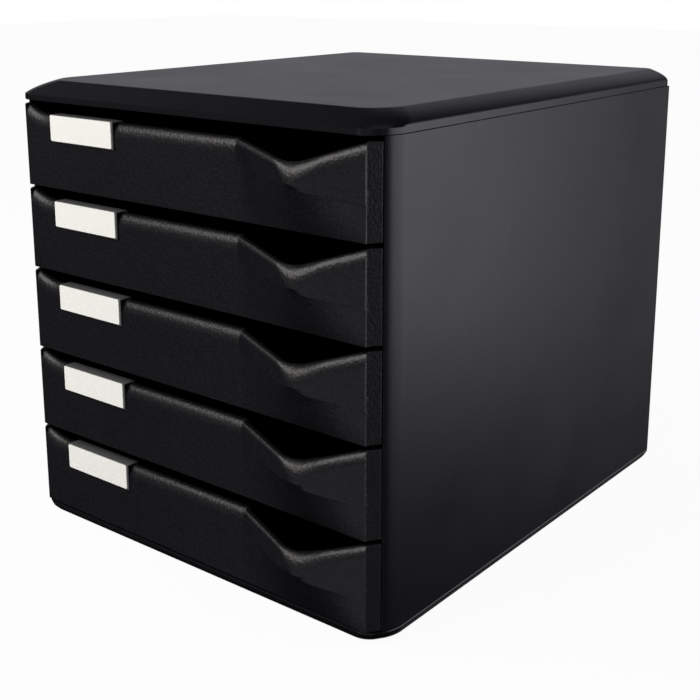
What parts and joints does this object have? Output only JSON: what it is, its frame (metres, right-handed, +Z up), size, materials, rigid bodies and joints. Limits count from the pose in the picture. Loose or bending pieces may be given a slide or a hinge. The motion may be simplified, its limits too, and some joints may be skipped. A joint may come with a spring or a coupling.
{
  "type": "desktop drawer unit",
  "caption": "Black moulded desktop drawer unit with open-topped slide-out trays for A4 paper, beaked grips and blank label cards.",
  "frame": {"origin": "middle of the bounding box at the bottom of the base plate, with the drawers closed", "axes": "+Z up, the drawer fronts face -Y, +X to the right seen from the front"},
  "size_m": [0.285, 0.3424, 0.2829],
  "materials": {
    "casing_plastic": "satin fine-grained black",
    "drawer_plastic": "fine-grained black",
    "clip_plastic": "smooth grey",
    "card_paper": "uncoated white card"
  },
  "bodies": {
    "casing": {"base_plate": "casing_plastic", "left_side_panel": "casing_plastic", "right_side_panel": "casing_plastic", "rear_panel": "casing_plastic", "top_cover": "casing_plastic"},
    "drawer_body_1": {"drawer_1": "drawer_plastic", "label_clip_1": "clip_plastic", "label_card_1": "card_paper"},
    "drawer_body_2": {"drawer_2": "drawer_plastic", "label_clip_2": "clip_plastic", "label_card_2": "card_paper"},
    "drawer_body_3": {"drawer_3": "drawer_plastic", "label_clip_3": "clip_plastic", "label_card_3": "card_paper"},
    "drawer_body_4": {"drawer_4": "drawer_plastic", "label_clip_4": "clip_plastic", "label_card_4": "card_paper"},
    "drawer_body_5": {"drawer_5": "drawer_plastic", "label_clip_5": "clip_plastic", "label_card_5": "card_paper"}
  },
  "joints": [
    {"name": "drawer_1_slide", "type": "slide", "parent": "casing", "child": "drawer_body_1", "axis": [0, -1, 0], "range_m": [0, 0.24]},
    {"name": "drawer_2_slide", "type": "slide", "parent": "casing", "child": "drawer_body_2", "axis": [0, -1, 0], "range_m": [0, 0.24]},
    {"name": "drawer_3_slide", "type": "slide", "parent": "casing", "child": "drawer_body_3", "axis": [0, -1, 0], "range_m": [0, 0.24]},
    {"name": "drawer_4_slide", "type": "slide", "parent": "casing", "child": "drawer_body_4", "axis": [0, -1, 0], "range_m": [0, 0.24]},
    {"name": "drawer_5_slide", "type": "slide", "parent": "casing", "child": "drawer_body_5", "axis": [0, -1, 0], "range_m": [0, 0.24]}
  ]
}
